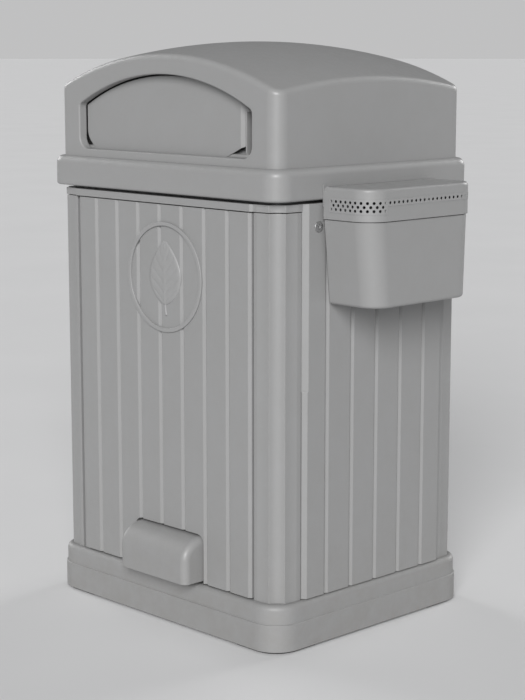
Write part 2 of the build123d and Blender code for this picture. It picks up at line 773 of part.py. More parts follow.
# ---------------------------------------------------------------- tipping chute behind the hood opening
panel_arch = arch_radius - 3.0
panel_apex = opening_apex - 3.0
weight_y = chute_y + 62.0
weight_z = chute_z - 12.0
weight_radius = 9.0
cheek_back_y = chute_y + cheek_radius * sin(radians(cheek_angle))
cheek_back_z = chute_z + cheek_radius * cos(radians(cheek_angle))
cheek_mid_y = chute_y + cheek_radius * sin(radians(cheek_angle / 2))
cheek_mid_z = chute_z + cheek_radius * cos(radians(cheek_angle / 2))
edge_round = 14.0
edge_return = -238.0
cheek_left = chute_left + 12.0
with BuildPart() as chute:
    with BuildSketch(Plane.XY.offset(chute_z - 20.0)):
        with BuildLine():
            Polyline(
                (chute_right - edge_round, chute_face),
                (chute_left, chute_face),
                (chute_left, chute_face + chute_wall),
                (chute_right - edge_round, chute_face + chute_wall),
            )
            Polyline(
                (chute_right - edge_round, chute_face + chute_wall),
                (chute_right - chute_wall, chute_face + edge_round),
                (chute_right - chute_wall, edge_return),
                (chute_right, edge_return),
                (chute_right, chute_face + edge_round),
                (chute_right - edge_round, chute_face),
            )
        make_face()
    extrude(amount=200.0)
    with BuildSketch(Plane.XZ.offset(-chute_face + 5.0)) as panel_outline:
        spring_left = panel_apex - panel_arch + sqrt(panel_arch**2 - chute_left**2)
        spring_right = panel_apex - panel_arch + sqrt(panel_arch**2 - (chute_right + 1.0) ** 2)
        with BuildLine():
            ThreePointArc((chute_left, spring_left), (0, panel_apex), (chute_right + 1.0, spring_right))
            Polyline(
                (chute_right + 1.0, spring_right),
                (chute_right + 1.0, 1043.0),
                (178.0, 1016.0),
                (170.0, 1010.0),
                (-246.0, 1010.0),
                (-246.0, 1016.0),
                (-251.0, 1023.0),
                (-262.0, 1033.0),
                (-269.0, 1043.0),
                (chute_left, 1054.0),
                (chute_left, spring_left),
            )
        make_face()
    extrude(amount=-60.0, mode=Mode.INTERSECT)
    for cheek_x in (cheek_left, chute_right - chute_wall):
        with BuildSketch(Plane.YZ.offset(cheek_x)):
            with BuildLine():
                Polyline(
                    (cheek_back_y, cheek_back_z),
                    (chute_y, chute_z),
                    (chute_face + chute_wall, chute_z + 8.0),
                    (chute_face + chute_wall, chute_z + cheek_radius - 0.5),
                )
                ThreePointArc(
                    (chute_face + chute_wall, chute_z + cheek_radius - 0.5),
                    (cheek_mid_y, cheek_mid_z),
                    (cheek_back_y, cheek_back_z),
                )
            make_face()
        extrude(amount=chute_wall)
    with BuildSketch(Plane.YZ.offset(cheek_left)):
        with BuildLine():
            Polyline(
                (chute_y, chute_z),
                (cheek_back_y, cheek_back_z),
                (cheek_back_y + chute_wall, cheek_back_z - chute_wall),
                (chute_y + chute_wall, chute_z - chute_wall),
                (chute_y, chute_z),
            )
        make_face()
    extrude(amount=chute_right - cheek_left)
    with BuildSketch(Plane.YZ.offset(-298.0)):
        with Locations((chute_y, chute_z)):
            Circle(axle_radius)
    extrude(amount=298.0 + crank_x + crank_thickness)
    with BuildSketch(Plane.YZ.offset(cheek_left)):
        with Locations((chute_face + chute_wall + 1.0, chute_z - 1.0)):
            Rectangle(4.0, 14.0)
    extrude(amount=chute_right - chute_left - 70.0)
    for arm in (-150.0, 146.0):
        with BuildSketch(Plane.YZ.offset(arm)):
            with BuildLine():
                Polyline(
                    (chute_y, chute_z + 9.0),
                    (weight_y, weight_z + 14.0),
                    (weight_y + 14.0, weight_z),
                    (weight_y, weight_z - 14.0),
                    (chute_y, chute_z - 9.0),
                    (chute_y, chute_z + 9.0),
                )
            make_face()
            with Locations((weight_y, weight_z)):
                Circle(weight_radius + 0.05, mode=Mode.SUBTRACT)
        extrude(amount=4.0)
    with BuildSketch(Plane.YZ.offset(crank_x)):
        with Locations((chute_y, chute_z)):
            Circle(11.0)
        with Locations(Location((chute_y, chute_z), -crank_swing)):
            with Locations((14.0, 0)):
                Rectangle(28.0, 16.0)
            with Locations((17.55, 0)):
                SlotCenterToCenter(1.8, 2 * rod_pin_radius + 1.2, mode=Mode.SUBTRACT)
    extrude(amount=crank_thickness)
save(chute.part, "chute")

with BuildPart() as closing_weight:
    with BuildSketch(Plane.YZ.offset(-190.0)):
        with Locations((weight_y, weight_z)):
            Circle(weight_radius)
    extrude(amount=380.0)
    chamfer(closing_weight.edges(), 1.5)
save(closing_weight.part, "closing_weight")

with BuildPart() as chute_bearings:
    for bearing_x in (-294.0, 286.0):
        with BuildSketch(Plane.YZ.offset(bearing_x)):
            with Locations(((hood_front + hood_wall + chute_y + 12.0) / 2, chute_z)):
                Rectangle(chute_y + 12.0 - hood_front - hood_wall, 26.0)
            with Locations((chute_y, chute_z)):
                Circle(axle_radius + running_gap, mode=Mode.SUBTRACT)
        extrude(amount=8.0)
save(chute_bearings.part, "chute_bearings")

# ---------------------------------------------------------------- foot pedal, shaft and brackets
pedal_rise = pedal_top - pedal_crease
pedal_run = shaft_y - pedal_front
pedal_end = 16.0
with BuildPart() as pedal:
    with BuildSketch(Plane.YZ.offset(pedal_centre - pedal_half)):
        with BuildLine():
            Polyline(
                (shaft_y, pedal_top),
                (pedal_back, pedal_top),
                (pedal_back, pedal_bottom),
                (pedal_front, pedal_bottom),
                (pedal_front, pedal_crease),
            )
            EllipticalCenterArc((shaft_y, pedal_crease), pedal_run, pedal_rise, 90, arc_size=90)
        make_face()
    extrude(amount=2 * pedal_half)
    rim = pedal.edges().filter_by(lambda e: abs(abs(e.center().X - pedal_centre) - pedal_half) < 0.01)
    fillet(rim.filter_by(lambda e: e.center().Z > pedal_bottom + 1.0 and e.center().Y < shaft_y - 1.0), pedal_end)
    with BuildSketch(Plane.YZ.offset(pedal_centre - pedal_half + pedal_wall)):
        with BuildLine():
            Polyline(
                (shaft_y, pedal_top - pedal_wall),
                (pedal_back + 1.0, pedal_top - pedal_wall),
                (pedal_back + 1.0, pedal_bottom - 1.0),
                (pedal_front + pedal_wall, pedal_bottom - 1.0),
                (pedal_front + pedal_wall, pedal_crease),
            )
            EllipticalCenterArc(
                (shaft_y, pedal_crease), pedal_run - pedal_wall, pedal_rise - pedal_wall, 90, arc_size=90
            )
        make_face()
    hollow = extrude(amount=2 * (pedal_half - pedal_wall), mode=Mode.PRIVATE)
    inner_rim = hollow.edges().filter_by(
        lambda e: abs(abs(e.center().X - pedal_centre) - pedal_half + pedal_wall) < 0.01
    )
    add(
        hollow.fillet(
            pedal_end - pedal_wall,
            inner_rim.filter_by(lambda e: e.center().Z > pedal_bottom and e.center().Y < shaft_y - 1.0),
        ),
        mode=Mode.SUBTRACT,
    )
    for side_x in arm_x:
        with BuildSketch(Plane.YZ.offset(side_x - arm_thickness / 2)):
            with BuildLine():
                Polyline(
                    (shaft_y + 8.0, shaft_z),
                    (shaft_y + 8.0, 140.0),
                    (shaft_y - 16.0, 152.0),
                    (pedal_front + 2.0, 146.0),
                    (pedal_front + 2.0, pedal_bottom + 3.0),
                    (shaft_y - 3.0, pedal_bottom + 1.0),
                    (shaft_y - 3.0, shaft_z),
                    (shaft_y + 8.0, shaft_z),
                )
            make_face()
            with Locations((shaft_y, shaft_z)):
                Circle(8.6)
                Circle(shaft_radius + 0.05, mode=Mode.SUBTRACT)
        extrude(amount=arm_thickness)
save(pedal.part, "pedal")

pedal_swing = 7.664
crank_reach = rod_y - shaft_y
with BuildPart() as pedal_shaft:
    with BuildSketch(Plane.YZ.offset(-78.0)):
        with Locations((shaft_y, shaft_z)):
            Circle(shaft_radius)
    extrude(amount=78.0 + crank_x)
    with BuildSketch(Plane.YZ.offset(crank_x)):
        with Locations((shaft_y, shaft_z)):
            Circle(shaft_radius)
        with Locations(Location((shaft_y, shaft_z), -pedal_swing)):
            with Locations((crank_reach / 2 + 4.0, 0)):
                Rectangle(crank_reach + 8.0, 14.0)
            with Locations((crank_reach + 0.2, 0)):
                SlotCenterToCenter(1.4, 2 * rod_pin_radius + 1.2, mode=Mode.SUBTRACT)
    extrude(amount=crank_thickness)
save(pedal_shaft.part, "pedal_shaft")

bracket_x = (-74.0, 110.0, 290.0)
with BuildPart() as shaft_brackets:
    for left in bracket_x:
        with BuildSketch(Plane.YZ.offset(left)):
            with Locations((shaft_y + 2.0, (deck_height - deck_thickness + shaft_z - 9.0) / 2)):
                Rectangle(20.0, deck_height - deck_thickness - shaft_z + 9.0)
            with Locations((shaft_y, shaft_z)):
                Circle(shaft_radius + running_gap, mode=Mode.SUBTRACT)
        extrude(amount=10.0)
save(shaft_brackets.part, "shaft_brackets")

# ---------------------------------------------------------------- push rod between the two cranks
low_pin_z = shaft_z - half_stroke
high_pin_z = chute_z - half_stroke
with BuildPart() as push_rod:
    with BuildSketch(Plane.XY.offset(low_pin_z - 7.0)):
        with Locations((rod_x, rod_y)):
            Circle(rod_radius)
    extrude(amount=high_pin_z - low_pin_z + 14.0)
    with BuildSketch(Plane.YZ.offset(rod_x)):
        with Locations((rod_y, low_pin_z), (rod_y, high_pin_z)):
            Circle(rod_pin_radius)
    extrude(amount=crank_x + crank_thickness + 3.0 - rod_x)
save(push_rod.part, "push_rod")

with BuildPart() as rod_guides:
    for guide_z in (300.0, 600.0, 840.0):
        with BuildSketch(Plane.XY.offset(guide_z)):
            with BuildLine():
                Polyline(
                    (296.0, -248.0),
                    (341.0, -248.0),
                    (341.0, -226.0),
                    (post_x - post_wall, -226.0),
                    (post_x - post_wall, -222.0),
                    (296.0, -222.0),
                    (296.0, -248.0),
                )
            make_face()
            with Locations((rod_x, rod_y)):
                Circle(rod_radius + running_gap, mode=Mode.SUBTRACT)
        extrude(amount=12.0)
save(rod_guides.part, "rod_guides")

# ---------------------------------------------------------------- litter liner with rim and pull handles
liner_width = 500.0
liner_depth = 470.0
liner_y = 5.0
liner_radius = 40.0
liner_bottom = deck_height + floor_thickness
liner_top = 888.0
liner_wall = 2.0
with BuildPart() as liner:
    with BuildSketch(Plane.XY.offset(liner_bottom)):
        with Locations((0, liner_y)):
            RectangleRounded(liner_width, liner_depth, liner_radius)
    extrude(amount=liner_top - liner_bottom)
    with BuildSketch(Plane.XY.offset(liner_top - 6.0)):
        with Locations((0, liner_y)):
            RectangleRounded(liner_width + 10.0, liner_depth + 10.0, liner_radius + 5.0)
    extrude(amount=6.0)
    with BuildSketch(Plane.XY.offset(liner_bottom + liner_wall)):
        with Locations((0, liner_y)):
            RectangleRounded(liner_width - 2 * liner_wall, liner_depth - 2 * liner_wall, liner_radius - liner_wall)
    extrude(amount=liner_top - liner_bottom, mode=Mode.SUBTRACT)
save(liner.part, "liner")

handle_z = 800.0
handle_half = 60.0
handle_rod = 4.0
handle_out = 20.0
with BuildPart() as liner_handles:
    for side in (-1, 1):
        wall_y = liner_y + side * liner_depth / 2
        with BuildLine() as handle_path:
            FilletPolyline(
                (-handle_half, wall_y, handle_z),
                (-handle_half, wall_y + side * handle_out, handle_z),
                (handle_half, wall_y + side * handle_out, handle_z),
                (handle_half, wall_y, handle_z),
                radius=9.0,
            )
        with BuildSketch(Plane(origin=(-handle_half, wall_y, handle_z), z_dir=(0, side, 0))):
            Circle(handle_rod)
        sweep(path=handle_path.line)
save(liner_handles.part, "liner_handles")


# ---------------------------------------------------------------- ash box on the right side
def ash_outline(half, front, radius, centre=ash_centre):
    """Plan outline against the wall, rounded at the two outer corners."""
    with BuildSketch() as outline:
        with Locations(((ash_back + front) / 2, centre)):
            Rectangle(front - ash_back, 2 * half)
        fillet(outline.vertices().sort_by(Axis.X)[-2:], radius)
    return outline.sketch


plate_width = 252.0
plate_bottom = 735.0
plate_top = 925.0
upstand_top = 967.0
upstand_inner = 364.2
upstand_outer = 365.8
with BuildPart() as ash_back_plate:
    with BuildSketch(Plane.YZ.offset(panel_face_x)):
        with Locations((ash_centre, (plate_bottom + plate_top) / 2)):
            RectangleRounded(plate_width, plate_top - plate_bottom, 8.0)
        for screw_y in plate_screw_y:
            for screw_z in plate_screw_z:
                with Locations((screw_y, screw_z)):
                    Circle(screw_radius, mode=Mode.SUBTRACT)
    extrude(amount=ash_back - panel_face_x)
    with BuildSketch(Plane.YZ.offset(upstand_inner)):
        with Locations((ash_centre, (plate_top - 6.0 + upstand_top) / 2)):
            RectangleRounded(2 * ash_half_top, upstand_top - plate_top + 6.0, 5.0)
    extrude(amount=upstand_outer - upstand_inner)
save(ash_back_plate.part, "ash_back_plate")

tub_front = ash_front - 3.0
tub_top = ash_seam
ear_y = (-118.0, 113.0)
ear_width = 8.0
with BuildPart() as ash_tub:
    outer_low = Plane.XY.offset(ash_bottom) * ash_outline(ash_half_bottom, tub_front, ash_radius - 3.0, ash_low_centre)
    outer_high = Plane.XY.offset(tub_top) * ash_outline(ash_half_top - 3.0, tub_front, ash_radius - 3.0)
    loft([outer_low.face(), outer_high.face()])
    fillet(ash_tub.faces().sort_by(Axis.Z)[0].edges().filter_by(lambda e: e.center().X > ash_back + 5.0), 7.0)
    inner_low = Plane.XY.offset(ash_bottom + ash_wall) * ash_outline(
        ash_half_bottom - ash_wall, tub_front - ash_wall, ash_radius - 3.0 - ash_wall, ash_low_centre
    )
    inner_high = Plane.XY.offset(tub_top) * ash_outline(
        ash_half_top - 3.0 - ash_wall, tub_front - ash_wall, ash_radius - 3.0 - ash_wall
    )
    hollow_tub = loft([inner_low.face(), inner_high.face()], mode=Mode.PRIVATE)
    with BuildSketch(Plane.XY.offset(ash_bottom)):
        with Locations((ash_back + ash_wall + 60.0, ash_centre)):
            Rectangle(120.0, 360.0)
    keep_rear = extrude(amount=200.0, mode=Mode.PRIVATE)
    add(hollow_tub.intersect(keep_rear), mode=Mode.SUBTRACT)
    for ear in ear_y:
        with BuildSketch(Plane.XZ.offset(-ear - ear_width / 2)):
            with Locations((ash_hinge_x, ash_hinge_z)):
                Circle(ash_hinge_round - 0.5)
            with Locations((ash_hinge_x, (880.0 + ash_hinge_z) / 2)):
                Rectangle(2 * ash_hinge_round - 1.0, ash_hinge_z - 880.0)
        extrude(amount=ear_width)
    with BuildSketch(Plane.XZ.offset(200.0)):
        with Locations((ash_hinge_x, ash_hinge_z)):
            Circle(2.55)
    extrude(amount=-400.0, mode=Mode.SUBTRACT)
    with BuildSketch(Plane.YZ.offset(ash_back - 1.0)):
        for screw_y in plate_screw_y:
            for screw_z in plate_screw_z:
                with Locations((screw_y, screw_z)):
                    Circle(screw_radius)
    extrude(amount=ash_wall + 2.0, mode=Mode.SUBTRACT)
save(ash_tub.part, "ash_tub")

with BuildPart() as ash_screws:
    for screw_y in plate_screw_y:
        for screw_z in plate_screw_z:
            with BuildSketch(Plane.YZ.offset(panel_face_x - 8.0)):
                with Locations((screw_y, screw_z)):
                    Circle(screw_radius)
            extrude(amount=ash_back + ash_wall - panel_face_x + 8.0)
            with BuildSketch(Plane.YZ.offset(ash_back + ash_wall)):
                with Locations((screw_y, screw_z)):
                    Circle(head_radius)
            extrude(amount=2.5)
save(ash_screws.part, "ash_screws")

tin_x = 428.5
tin_width = 108.0
tin_length = 284.0
tin_radius = 36.0
tin_wall = 1.5
tin_height = 141.0
tin_bottom = ash_bottom + 7.0
with BuildPart() as ash_tin:
    with BuildSketch(Plane.XY.offset(tin_bottom)):
        with Locations((tin_x, ash_low_centre)):
            RectangleRounded(tin_width, tin_length, tin_radius)
    extrude(amount=tin_height)
    with BuildSketch(Plane.XY.offset(tin_bottom + tin_wall)):
        with Locations((tin_x, ash_low_centre)):
            RectangleRounded(tin_width - 2 * tin_wall, tin_length - 2 * tin_wall, tin_radius - tin_wall)
    extrude(amount=tin_height, mode=Mode.SUBTRACT)
save(ash_tin.part, "ash_tin")

with BuildPart() as ash_hinge_pin:
    with BuildSketch(Plane.XZ.offset(-ash_centre + 156.0)):
        with Locations((ash_hinge_x, ash_hinge_z)):
            Circle(2.5)
    extrude(amount=-312.0)
save(ash_hinge_pin.part, "ash_hinge_pin")

# lid with a window strip, wrapped round the two outer corners
lid_bottom = ash_seam + 1.5
band_start = 381.0
band_end = -121.0
band_low = 911.0
band_high = 941.0
strip_low = 927.0
strip_end = 138.0
corner_x = ash_front - ash_radius
corner_y = ash_centre - ash_half_top + ash_radius
far_corner_y = ash_centre + ash_half_top - ash_radius
tube_half = ash_half_top - ash_wall
with BuildPart() as ash_lid:
    add(extrude(Plane.XY.offset(lid_bottom) * ash_outline(ash_half_top, ash_front, ash_radius), ash_top - lid_bottom))
    fillet(ash_lid.faces().sort_by(Axis.Z)[-1].edges().filter_by(lambda e: e.center().X > ash_back + 5.0), 6.0)
    lid_core = extrude(
        Plane.XY.offset(lid_bottom)
        * ash_outline(ash_half_top - ash_wall, ash_front - ash_wall, ash_radius - ash_wall),
        ash_top - ash_wall - lid_bottom,
        mode=Mode.PRIVATE,
    )
    add(lid_core, mode=Mode.SUBTRACT)
    with BuildSketch(Plane.XZ.offset(200.0)):
        with Locations(((ash_back + ash_hinge_x) / 2 - 1.0, ash_hinge_z + 6.0)):
            Rectangle(ash_hinge_x - ash_back + 2.0, 12.0)
    extrude(amount=-400.0, mode=Mode.SUBTRACT)
    with BuildSketch(Plane.XZ.offset(-ash_centre + ash_half_top - 1.0)):
        with Locations((ash_hinge_x, ash_hinge_z)):
            Circle(ash_hinge_round)
    extrude(amount=-2 * (ash_half_top - 1.0))
    with BuildSketch(Plane.XZ.offset(-ash_centre + tube_half)):
        with Locations((ash_hinge_x, ash_hinge_z)):
            Circle(ash_hinge_round)
    extrude(amount=-2 * tube_half, mode=Mode.SUBTRACT)
    for ear in ear_y:
        with BuildSketch(Plane.XZ.offset(-ear - ear_width / 2 - 1.5)):
            with Locations((ash_hinge_x, ash_hinge_z)):
                Rectangle(2 * ash_hinge_round + 3.0, 2 * ash_hinge_round + 4.0)
        extrude(amount=ear_width + 3.0, mode=Mode.SUBTRACT)
    with BuildSketch(Plane.XY.offset(band_low + 3.0)):
        add(ash_outline(ash_half_top + 2.0, ash_front + 2.0, ash_radius + 2.0))
        add(ash_outline(ash_half_top - 8.0, ash_front - 8.0, ash_radius - 8.0), mode=Mode.SUBTRACT)
        with Locations(((band_start + 5.0 + ash_front + 5.0) / 2, (band_end - 5.0 - 180.0) / 2)):
            Rectangle(ash_front - band_start, band_end - 5.0 + 180.0, mode=Mode.INTERSECT)
    extrude(amount=band_high - band_low - 6.0, mode=Mode.SUBTRACT)
    with BuildSketch(Plane.YZ.offset(ash_front - ash_wall - 2.0)):
        with Locations(((band_end + far_corner_y) / 2, 934.0)):
            Rectangle(far_corner_y - band_end, 8.0)
    extrude(amount=ash_wall + 4.0, mode=Mode.SUBTRACT)
save(ash_lid.part, "ash_lid")

# hinge tube along the lid's back edge, parted at the two ears
with BuildPart() as ash_hinge_tube:
    with BuildSketch(Plane.XZ.offset(-ash_centre + tube_half)):
        with Locations((ash_hinge_x, ash_hinge_z)):
            Circle(ash_hinge_round)
            Circle(2.5 + running_gap, mode=Mode.SUBTRACT)
    extrude(amount=-2 * tube_half)
    for ear in ear_y:
        with BuildSketch(Plane.XZ.offset(-ear - ear_width / 2 - 1.5)):
            with Locations((ash_hinge_x, ash_hinge_z)):
                Rectangle(2 * ash_hinge_round + 3.0, 2 * ash_hinge_round + 4.0)
        extrude(amount=ear_width + 3.0, mode=Mode.SUBTRACT)
save(ash_hinge_tube.part, "ash_hinge_tube")

# perforated stub plate: three rows round the near corner, one row along the outer face
sheet = 0.8
hole_radius = 3.0
hole_pitch = 13.0
row_z = (934.0, 926.0, 918.0)
first_hole_x = 388.0
straight = corner_x - first_hole_x
arc_length = radians(90.0) * ash_radius


def hole_plane(distance, height):
    """Plane on the lid wall at a distance along the wrap, facing outwards."""
    if distance <= straight:
        origin = (first_hole_x + distance, ash_centre - ash_half_top, height)
        normal = (0, -1, 0)
    elif distance <= straight + arc_length:
        turn = (distance - straight) / ash_radius
        normal = (sin(turn), -cos(turn), 0)
        origin = (corner_x + ash_radius * normal[0], corner_y + ash_radius * normal[1], height)
    elif distance <= straight + arc_length + far_corner_y - corner_y:
        origin = (ash_front, corner_y + distance - straight - arc_length, height)
        normal = (1, 0, 0)
    else:
        turn = (distance - straight - arc_length - far_corner_y + corner_y) / ash_radius
        normal = (cos(turn), sin(turn), 0)
        origin = (corner_x + ash_radius * normal[0], far_corner_y + ash_radius * normal[1], height)
    return Plane(origin=origin, z_dir=normal)


with BuildPart() as stub_plate:
    with BuildSketch(Plane.XY.offset(band_low)):
        add(ash_outline(ash_half_top + sheet, ash_front + sheet, ash_radius + sheet))
        add(ash_outline(ash_half_top, ash_front, ash_radius), mode=Mode.SUBTRACT)
        with Locations(((band_start + ash_front + 5.0) / 2, (band_end - 180.0) / 2)):
            Rectangle(ash_front + 5.0 - band_start, band_end + 180.0, mode=Mode.INTERSECT)
    extrude(amount=band_high - band_low)
    with BuildSketch(Plane.XY.offset(strip_low)):
        add(ash_outline(ash_half_top + sheet, ash_front + sheet, ash_radius + sheet))
        add(ash_outline(ash_half_top, ash_front, ash_radius), mode=Mode.SUBTRACT)
        with Locations((corner_x + 30.0, (band_end + strip_end) / 2)):
            Rectangle(50.0, strip_end - band_end, mode=Mode.INTERSECT)
    extrude(amount=band_high - strip_low)
    top_row = [hole_plane(k * hole_pitch, row_z[0]) for k in range(31)]
    middle_row = [hole_plane((k + 0.5) * hole_pitch, row_z[1]) for k in range(10)]
    bottom_row = [hole_plane(k * hole_pitch, row_z[2]) for k in range(11)]
    with Locations(*(top_row + middle_row + bottom_row)):
        Cylinder(hole_radius, 6.0, mode=Mode.SUBTRACT)
save(stub_plate.part, "stub_plate")
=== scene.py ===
import math

import bmesh
import bpy
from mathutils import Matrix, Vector


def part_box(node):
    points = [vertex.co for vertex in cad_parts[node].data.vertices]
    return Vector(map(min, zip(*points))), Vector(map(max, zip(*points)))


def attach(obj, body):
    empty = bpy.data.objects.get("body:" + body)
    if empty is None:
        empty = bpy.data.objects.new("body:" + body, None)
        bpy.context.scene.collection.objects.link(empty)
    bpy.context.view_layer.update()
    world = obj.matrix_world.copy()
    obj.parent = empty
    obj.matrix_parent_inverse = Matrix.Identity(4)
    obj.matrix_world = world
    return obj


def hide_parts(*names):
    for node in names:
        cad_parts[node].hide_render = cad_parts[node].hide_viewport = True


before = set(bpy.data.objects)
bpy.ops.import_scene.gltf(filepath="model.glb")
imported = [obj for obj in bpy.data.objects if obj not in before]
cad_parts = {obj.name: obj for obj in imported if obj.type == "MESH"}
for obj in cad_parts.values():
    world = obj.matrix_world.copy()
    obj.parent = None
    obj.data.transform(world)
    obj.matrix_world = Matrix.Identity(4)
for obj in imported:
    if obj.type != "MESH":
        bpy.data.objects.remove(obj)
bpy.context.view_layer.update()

# Hooded litter bin with a side ash box: materials, camera, studio and the leaf emblem on the door.
# Metres, +Z up, door towards -Y, ash box towards +X.


# ---------------------------------------------------------------- material helpers
class Shader:
    """A material with its own node tree, built up by short calls."""

    def __init__(self, name):
        self.material = bpy.data.materials.new(name)
        self.material.use_nodes = True
        self.nodes = self.material.node_tree.nodes
        self.links = self.material.node_tree.links
        self.surface = self.nodes["Principled BSDF"]
        self.place = self.nodes.new("ShaderNodeTexCoord").outputs["Object"]

    def link(self, source, target):
        self.links.new(source, target)

    def stretched(self, scale):
        """Object coordinates scaled by axis."""
        node = self.nodes.new("ShaderNodeMapping")
        node.inputs["Scale"].default_value = scale
        self.link(self.place, node.inputs["Vector"])
        return node.outputs["Vector"]

    def noise(self, scale, detail=3.0, rough=0.5, place=None):
        node = self.nodes.new("ShaderNodeTexNoise")
        node.inputs["Scale"].default_value = scale
        node.inputs["Detail"].default_value = detail
        node.inputs["Roughness"].default_value = rough
        self.link(place or self.place, node.inputs["Vector"])
        return node.outputs["Fac"]

    def cells(self, scale, place=None):
        node = self.nodes.new("ShaderNodeTexVoronoi")
        node.inputs["Scale"].default_value = scale
        self.link(place or self.place, node.inputs["Vector"])
        return node.outputs["Color"]

    def span(self, value, low, high, to_low, to_high):
        """Map a value from one range to another, clamped."""
        node = self.nodes.new("ShaderNodeMapRange")
        node.inputs["From Min"].default_value = low
        node.inputs["From Max"].default_value = high
        node.inputs["To Min"].default_value = to_low
        node.inputs["To Max"].default_value = to_high
        self.link(value, node.inputs["Value"])
        return node.outputs["Result"]

    def math(self, operation, first, second):
        node = self.nodes.new("ShaderNodeMath")
        node.operation = operation
        for socket, value in zip(node.inputs, (first, second)):
            if isinstance(value, (int, float)):
                socket.default_value = value
            else:
                self.link(value, socket)
        return node.outputs["Value"]

    def ramp(self, value, dark, light, low=0.3, high=0.7):
        """Blend between two colours over part of a value's range."""
        node = self.nodes.new("ShaderNodeValToRGB")
        node.color_ramp.elements[0].position = low
        node.color_ramp.elements[0].color = (*dark, 1)
        node.color_ramp.elements[1].position = high
        node.color_ramp.elements[1].color = (*light, 1)
        self.link(value, node.inputs["Fac"])
        return node.outputs["Color"]

    def mix(self, factor, first, second):
        node = self.nodes.new("ShaderNodeMix")
        node.data_type = "RGBA"
        self.link(factor, node.inputs["Factor"])
        for socket, value in ((node.inputs[6], first), (node.inputs[7], second)):
            if isinstance(value, tuple):
                socket.default_value = (*value, 1)
            else:
                self.link(value, socket)
        return node.outputs[2]

    def height(self):
        """The Z coordinate in metres above the ground."""
        node = self.nodes.new("ShaderNodeSeparateXYZ")
        self.link(self.place, node.inputs["Vector"])
        return node.outputs["Z"]

    def soft_edges(self, radius):
        """Normal rounded over edges, and a mask that is 1 on the edges."""
        bevel = self.nodes.new("ShaderNodeBevel")
        bevel.samples = 6
        bevel.inputs["Radius"].default_value = radius
        flat = self.nodes.new("ShaderNodeNewGeometry").outputs["Normal"]
        dot = self.nodes.new("ShaderNodeVectorMath")
        dot.operation = "DOT_PRODUCT"
        self.link(bevel.outputs["Normal"], dot.inputs[0])
        self.link(flat, dot.inputs[1])
        return bevel.outputs["Normal"], self.span(dot.outputs["Value"], 0.995, 0.85, 0.0, 1.0)

    def bumps(self, normal, *layers):
        """Stack bump layers of (height, strength, distance) on a normal."""
        for value, strength, distance in layers:
            node = self.nodes.new("ShaderNodeBump")
            node.inputs["Strength"].default_value = strength
            node.inputs["Distance"].default_value = distance
            self.link(value, node.inputs["Height"])
            if normal is not None:
                self.link(normal, node.inputs["Normal"])
            normal = node.outputs["Normal"]
        self.link(normal, self.surface.inputs["Normal"])


def polymer(name, tone, rough, edge=0.0016, grain=0.16, dust=0.30):
    """Grey moulded polymer: fine leather-like grain, slow tone drift, rubbed edges, dust near the ground."""
    shader = Shader(name)
    dark = (tone * 0.985, tone * 0.985, tone * 0.98)
    light = (tone * 1.015, tone * 1.015, tone * 1.02)
    drift = shader.ramp(shader.noise(16.0, 6.0, 0.65), dark, light, 0.3, 0.7)
    speck = shader.span(shader.noise(620.0, 2.0), 0.62, 0.72, 0.0, 0.10)
    colour = shader.mix(speck, drift, (tone * 1.5, tone * 1.5, tone * 1.5))
    normal, edges = shader.soft_edges(edge)
    rub = shader.math("MULTIPLY", edges, shader.span(shader.noise(38.0, 6.0, 0.7), 0.42, 0.62, 0.10, 0.42))
    colour = shader.mix(rub, colour, (tone * 1.6, tone * 1.6, tone * 1.58))
    low = shader.span(shader.height(), 0.0, 0.30, dust, 0.0)
    grime = shader.math("MULTIPLY", low, shader.span(shader.noise(26.0, 6.0, 0.65), 0.35, 0.65, 0.15, 1.0))
    colour = shader.mix(grime, colour, (tone * 0.80, tone * 0.76, tone * 0.70))
    shader.link(colour, shader.surface.inputs["Base Color"])
    shine = shader.span(shader.noise(55.0, 5.0, 0.6), 0.3, 0.7, rough - 0.07, rough + 0.09)
    dulled = shader.math("MULTIPLY", grime, 0.25)
    shader.link(shader.math("ADD", shine, dulled), shader.surface.inputs["Roughness"])
    shader.surface.inputs["Specular IOR Level"].default_value = 0.5
    shader.bumps(
        normal,
        (shader.noise(30.0, 2.0), 0.03, 0.0010),
        (shader.noise(900.0, 3.0, 0.6), grain, 0.0004),
    )
    return shader.material


def brushed(name, tone, rough, along):
    """Brushed sheet steel with fine streaks along one axis and faint finger marks."""
    shader = Shader(name)
    streak = shader.noise(60.0, 4.0, 0.7, shader.stretched(along))
    drift = shader.ramp(streak, (tone * 0.84,) * 3, (tone * 1.10,) * 3)
    smear = shader.span(shader.noise(22.0, 4.0), 0.45, 0.7, 0.0, 0.35)
    colour = shader.mix(smear, drift, (tone * 0.80, tone * 0.80, tone * 0.82))
    shader.link(colour, shader.surface.inputs["Base Color"])
    shine = shader.span(streak, 0.3, 0.7, rough - 0.08, rough + 0.10)
    shader.link(shine, shader.surface.inputs["Roughness"])
    shader.surface.inputs["Metallic"].default_value = 1.0
    normal, _ = shader.soft_edges(0.0004)
    shader.bumps(normal, (streak, 0.12, 0.0002))
    return shader.material


